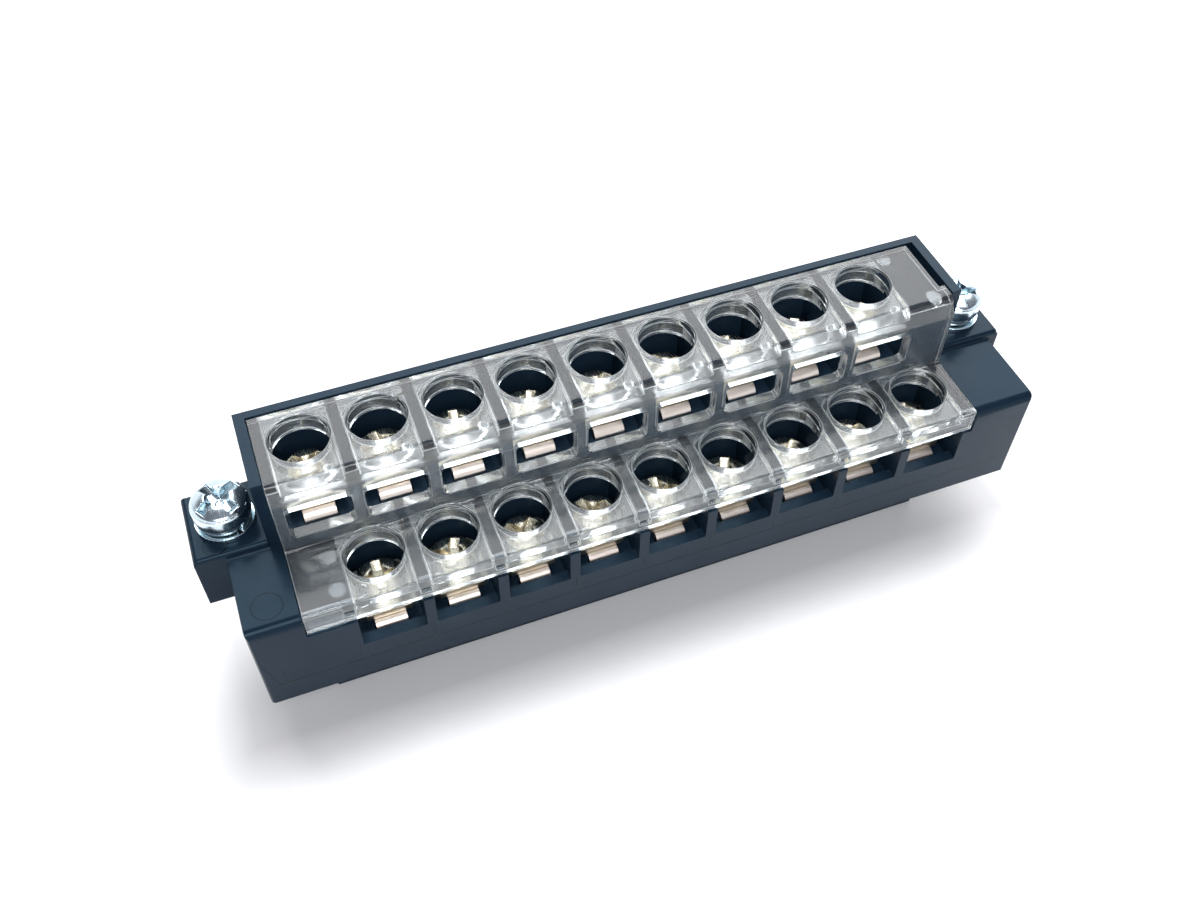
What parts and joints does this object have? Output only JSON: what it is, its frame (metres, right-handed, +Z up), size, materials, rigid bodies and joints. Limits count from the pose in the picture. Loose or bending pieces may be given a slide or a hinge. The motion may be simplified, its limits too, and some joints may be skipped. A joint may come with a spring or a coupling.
{
  "type": "two-tier screw terminal block",
  "caption": "Plug-on screw terminal block with two staggered tiers, a clear stepped cover with driver holes, and captive mounting screws in end ears.",
  "frame": {"origin": "centre of the bounding box's bottom face, in the plane of the plug skirt's underside", "axes": "+X along the rows, +Y from the lower front tier to the upper rear tier, +Z up, out of the driver holes"},
  "size_m": [0.0904, 0.0188, 0.0298],
  "materials": {
    "housing_plastic": "fine satin",
    "clear_plastic": "clear, polished",
    "nickel_screw": "nickel plated",
    "nickel_plate": "nickel plated",
    "nickel_strip": "nickel plated",
    "zinc_steel": "bright zinc plated"
  },
  "bodies": {
    "block": {"housing": "housing_plastic", "cover": "clear_plastic", "lower_contacts": "nickel_strip", "upper_contacts": "nickel_strip"},
    "upper_clamp_1": {"upper_clamp_1": "nickel_plate"},
    "upper_screw_1": {"upper_screw_1": "nickel_screw"},
    "upper_clamp_2": {"upper_clamp_2": "nickel_plate"},
    "upper_screw_2": {"upper_screw_2": "nickel_screw"},
    "upper_clamp_3": {"upper_clamp_3": "nickel_plate"},
    "upper_screw_3": {"upper_screw_3": "nickel_screw"},
    "upper_clamp_4": {"upper_clamp_4": "nickel_plate"},
    "upper_screw_4": {"upper_screw_4": "nickel_screw"},
    "upper_clamp_5": {"upper_clamp_5": "nickel_plate"},
    "upper_screw_5": {"upper_screw_5": "nickel_screw"},
    "upper_clamp_6": {"upper_clamp_6": "nickel_plate"},
    "upper_screw_6": {"upper_screw_6": "nickel_screw"},
    "upper_clamp_7": {"upper_clamp_7": "nickel_plate"},
    "upper_screw_7": {"upper_screw_7": "nickel_screw"},
    "upper_clamp_8": {"upper_clamp_8": "nickel_plate"},
    "upper_screw_8": {"upper_screw_8": "nickel_screw"},
    "upper_clamp_9": {"upper_clamp_9": "nickel_plate"},
    "upper_screw_9": {"upper_screw_9": "nickel_screw"},
    "lower_clamp_1": {"lower_clamp_1": "nickel_plate"},
    "lower_screw_1": {"lower_screw_1": "nickel_screw"},
    "lower_clamp_2": {"lower_clamp_2": "nickel_plate"},
    "lower_screw_2": {"lower_screw_2": "nickel_screw"},
    "lower_clamp_3": {"lower_clamp_3": "nickel_plate"},
    "lower_screw_3": {"lower_screw_3": "nickel_screw"},
    "lower_clamp_4": {"lower_clamp_4": "nickel_plate"},
    "lower_screw_4": {"lower_screw_4": "nickel_screw"},
    "lower_clamp_5": {"lower_clamp_5": "nickel_plate"},
    "lower_screw_5": {"lower_screw_5": "nickel_screw"},
    "lower_clamp_6": {"lower_clamp_6": "nickel_plate"},
    "lower_screw_6": {"lower_screw_6": "nickel_screw"},
    "lower_clamp_7": {"lower_clamp_7": "nickel_plate"},
    "lower_screw_7": {"lower_screw_7": "nickel_screw"},
    "lower_clamp_8": {"lower_clamp_8": "nickel_plate"},
    "lower_screw_8": {"lower_screw_8": "nickel_screw"},
    "lower_clamp_9": {"lower_clamp_9": "nickel_plate"},
    "lower_screw_9": {"lower_screw_9": "nickel_screw"},
    "left_washers": {"spring_washer_left": "zinc_steel", "flat_washer_left": "zinc_steel"},
    "left_mounting_screw": {"mounting_screw_left": "zinc_steel"},
    "right_washers": {"spring_washer_right": "zinc_steel", "flat_washer_right": "zinc_steel"},
    "right_mounting_screw": {"mounting_screw_right": "zinc_steel"}
  },
  "joints": [
    {"name": "upper_clamp_1_lift", "type": "slide", "parent": "block", "child": "upper_clamp_1", "axis": [0, 0, 1], "range_m": [0, 0.0025]},
    {"name": "upper_screw_1_turn", "type": "hinge", "parent": "upper_clamp_1", "child": "upper_screw_1", "pos_m": [-0.03238, 0.0046, 0.0233], "axis": [0, 0, 1], "range_deg": [0, 1800]},
    {"name": "upper_clamp_2_lift", "type": "slide", "parent": "block", "child": "upper_clamp_2", "axis": [0, 0, 1], "range_m": [0, 0.0025]},
    {"name": "upper_screw_2_turn", "type": "hinge", "parent": "upper_clamp_2", "child": "upper_screw_2", "pos_m": [-0.02476, 0.0046, 0.0233], "axis": [0, 0, 1], "range_deg": [0, 1800]},
    {"name": "upper_clamp_3_lift", "type": "slide", "parent": "block", "child": "upper_clamp_3", "axis": [0, 0, 1], "range_m": [0, 0.0025]},
    {"name": "upper_screw_3_turn", "type": "hinge", "parent": "upper_clamp_3", "child": "upper_screw_3", "pos_m": [-0.01715, 0.0046, 0.0233], "axis": [0, 0, 1], "range_deg": [0, 1800]},
    {"name": "upper_clamp_4_lift", "type": "slide", "parent": "block", "child": "upper_clamp_4", "axis": [0, 0, 1], "range_m": [0, 0.0025]},
    {"name": "upper_screw_4_turn", "type": "hinge", "parent": "upper_clamp_4", "child": "upper_screw_4", "pos_m": [-0.00953, 0.0046, 0.0233], "axis": [0, 0, 1], "range_deg": [0, 1800]},
    {"name": "upper_clamp_5_lift", "type": "slide", "parent": "block", "child": "upper_clamp_5", "axis": [0, 0, 1], "range_m": [0, 0.0025]},
    {"name": "upper_screw_5_turn", "type": "hinge", "parent": "upper_clamp_5", "child": "upper_screw_5", "pos_m": [-0.00191, 0.0046, 0.0233], "axis": [0, 0, 1], "range_deg": [0, 1800]},
    {"name": "upper_clamp_6_lift", "type": "slide", "parent": "block", "child": "upper_clamp_6", "axis": [0, 0, 1], "range_m": [0, 0.0025]},
    {"name": "upper_screw_6_turn", "type": "hinge", "parent": "upper_clamp_6", "child": "upper_screw_6", "pos_m": [0.00571, 0.0046, 0.0233], "axis": [0, 0, 1], "range_deg": [0, 1800]},
    {"name": "upper_clamp_7_lift", "type": "slide", "parent": "block", "child": "upper_clamp_7", "axis": [0, 0, 1], "range_m": [0, 0.0025]},
    {"name": "upper_screw_7_turn", "type": "hinge", "parent": "upper_clamp_7", "child": "upper_screw_7", "pos_m": [0.01333, 0.0046, 0.0233], "axis": [0, 0, 1], "range_deg": [0, 1800]},
    {"name": "upper_clamp_8_lift", "type": "slide", "parent": "block", "child": "upper_clamp_8", "axis": [0, 0, 1], "range_m": [0, 0.0025]},
    {"name": "upper_screw_8_turn", "type": "hinge", "parent": "upper_clamp_8", "child": "upper_screw_8", "pos_m": [0.02096, 0.0046, 0.0233], "axis": [0, 0, 1], "range_deg": [0, 1800]},
    {"name": "upper_clamp_9_lift", "type": "slide", "parent": "block", "child": "upper_clamp_9", "axis": [0, 0, 1], "range_m": [0, 0.0025]},
    {"name": "upper_screw_9_turn", "type": "hinge", "parent": "upper_clamp_9", "child": "upper_screw_9", "pos_m": [0.02857, 0.0046, 0.0233], "axis": [0, 0, 1], "range_deg": [0, 1800]},
    {"name": "lower_clamp_1_lift", "type": "slide", "parent": "block", "child": "lower_clamp_1", "axis": [0, 0, 1], "range_m": [0, 0.0025]},
    {"name": "lower_screw_1_turn", "type": "hinge", "parent": "lower_clamp_1", "child": "lower_screw_1", "pos_m": [-0.02857, -0.0042, 0.01415], "axis": [0, 0, 1], "range_deg": [0, 1800]},
    {"name": "lower_clamp_2_lift", "type": "slide", "parent": "block", "child": "lower_clamp_2", "axis": [0, 0, 1], "range_m": [0, 0.0025]},
    {"name": "lower_screw_2_turn", "type": "hinge", "parent": "lower_clamp_2", "child": "lower_screw_2", "pos_m": [-0.02096, -0.0042, 0.01415], "axis": [0, 0, 1], "range_deg": [0, 1800]},
    {"name": "lower_clamp_3_lift", "type": "slide", "parent": "block", "child": "lower_clamp_3", "axis": [0, 0, 1], "range_m": [0, 0.0025]},
    {"name": "lower_screw_3_turn", "type": "hinge", "parent": "lower_clamp_3", "child": "lower_screw_3", "pos_m": [-0.01333, -0.0042, 0.01415], "axis": [0, 0, 1], "range_deg": [0, 1800]},
    {"name": "lower_clamp_4_lift", "type": "slide", "parent": "block", "child": "lower_clamp_4", "axis": [0, 0, 1], "range_m": [0, 0.0025]},
    {"name": "lower_screw_4_turn", "type": "hinge", "parent": "lower_clamp_4", "child": "lower_screw_4", "pos_m": [-0.00571, -0.0042, 0.01415], "axis": [0, 0, 1], "range_deg": [0, 1800]},
    {"name": "lower_clamp_5_lift", "type": "slide", "parent": "block", "child": "lower_clamp_5", "axis": [0, 0, 1], "range_m": [0, 0.0025]},
    {"name": "lower_screw_5_turn", "type": "hinge", "parent": "lower_clamp_5", "child": "lower_screw_5", "pos_m": [0.00191, -0.0042, 0.01415], "axis": [0, 0, 1], "range_deg": [0, 1800]},
    {"name": "lower_clamp_6_lift", "type": "slide", "parent": "block", "child": "lower_clamp_6", "axis": [0, 0, 1], "range_m": [0, 0.0025]},
    {"name": "lower_screw_6_turn", "type": "hinge", "parent": "lower_clamp_6", "child": "lower_screw_6", "pos_m": [0.00953, -0.0042, 0.01415], "axis": [0, 0, 1], "range_deg": [0, 1800]},
    {"name": "lower_clamp_7_lift", "type": "slide", "parent": "block", "child": "lower_clamp_7", "axis": [0, 0, 1], "range_m": [0, 0.0025]},
    {"name": "lower_screw_7_turn", "type": "hinge", "parent": "lower_clamp_7", "child": "lower_screw_7", "pos_m": [0.01715, -0.0042, 0.01415], "axis": [0, 0, 1], "range_deg": [0, 1800]},
    {"name": "lower_clamp_8_lift", "type": "slide", "parent": "block", "child": "lower_clamp_8", "axis": [0, 0, 1], "range_m": [0, 0.0025]},
    {"name": "lower_screw_8_turn", "type": "hinge", "parent": "lower_clamp_8", "child": "lower_screw_8", "pos_m": [0.02476, -0.0042, 0.01415], "axis": [0, 0, 1], "range_deg": [0, 1800]},
    {"name": "lower_clamp_9_lift", "type": "slide", "parent": "block", "child": "lower_clamp_9", "axis": [0, 0, 1], "range_m": [0, 0.0025]},
    {"name": "lower_screw_9_turn", "type": "hinge", "parent": "lower_clamp_9", "child": "lower_screw_9", "pos_m": [0.03238, -0.0042, 0.01415], "axis": [0, 0, 1], "range_deg": [0, 1800]},
    {"name": "left_washers_lift", "type": "slide", "parent": "block", "child": "left_washers", "axis": [0, 0, 1], "range_m": [0, 0.004]},
    {"name": "left_mounting_screw_turn", "type": "hinge", "parent": "left_washers", "child": "left_mounting_screw", "pos_m": [-0.04129, 0.00405, 0.02285], "axis": [0, 0, 1], "range_deg": [0, 2880]},
    {"name": "right_washers_lift", "type": "slide", "parent": "block", "child": "right_washers", "axis": [0, 0, 1], "range_m": [0, 0.004]},
    {"name": "right_mounting_screw_turn", "type": "hinge", "parent": "right_washers", "child": "right_mounting_screw", "pos_m": [0.04129, 0.00405, 0.02285], "axis": [0, 0, 1], "range_deg": [0, 2880]}
  ],
  "couplings": [
    {"joint": "upper_screw_1_turn", "follows": "upper_clamp_1_lift", "rad_per_m": 12566},
    {"joint": "upper_screw_2_turn", "follows": "upper_clamp_2_lift", "rad_per_m": 12566},
    {"joint": "upper_screw_3_turn", "follows": "upper_clamp_3_lift", "rad_per_m": 12566},
    {"joint": "upper_screw_4_turn", "follows": "upper_clamp_4_lift", "rad_per_m": 12566},
    {"joint": "upper_screw_5_turn", "follows": "upper_clamp_5_lift", "rad_per_m": 12566},
    {"joint": "upper_screw_6_turn", "follows": "upper_clamp_6_lift", "rad_per_m": 12566},
    {"joint": "upper_screw_7_turn", "follows": "upper_clamp_7_lift", "rad_per_m": 12566},
    {"joint": "upper_screw_8_turn", "follows": "upper_clamp_8_lift", "rad_per_m": 12566},
    {"joint": "upper_screw_9_turn", "follows": "upper_clamp_9_lift", "rad_per_m": 12566},
    {"joint": "lower_screw_1_turn", "follows": "lower_clamp_1_lift", "rad_per_m": 12566},
    {"joint": "lower_screw_2_turn", "follows": "lower_clamp_2_lift", "rad_per_m": 12566},
    {"joint": "lower_screw_3_turn", "follows": "lower_clamp_3_lift", "rad_per_m": 12566},
    {"joint": "lower_screw_4_turn", "follows": "lower_clamp_4_lift", "rad_per_m": 12566},
    {"joint": "lower_screw_5_turn", "follows": "lower_clamp_5_lift", "rad_per_m": 12566},
    {"joint": "lower_screw_6_turn", "follows": "lower_clamp_6_lift", "rad_per_m": 12566},
    {"joint": "lower_screw_7_turn", "follows": "lower_clamp_7_lift", "rad_per_m": 12566},
    {"joint": "lower_screw_8_turn", "follows": "lower_clamp_8_lift", "rad_per_m": 12566},
    {"joint": "lower_screw_9_turn", "follows": "lower_clamp_9_lift", "rad_per_m": 12566},
    {"joint": "left_mounting_screw_turn", "follows": "left_washers_lift", "rad_per_m": 12566},
    {"joint": "right_mounting_screw_turn", "follows": "right_washers_lift", "rad_per_m": 12566}
  ]
}
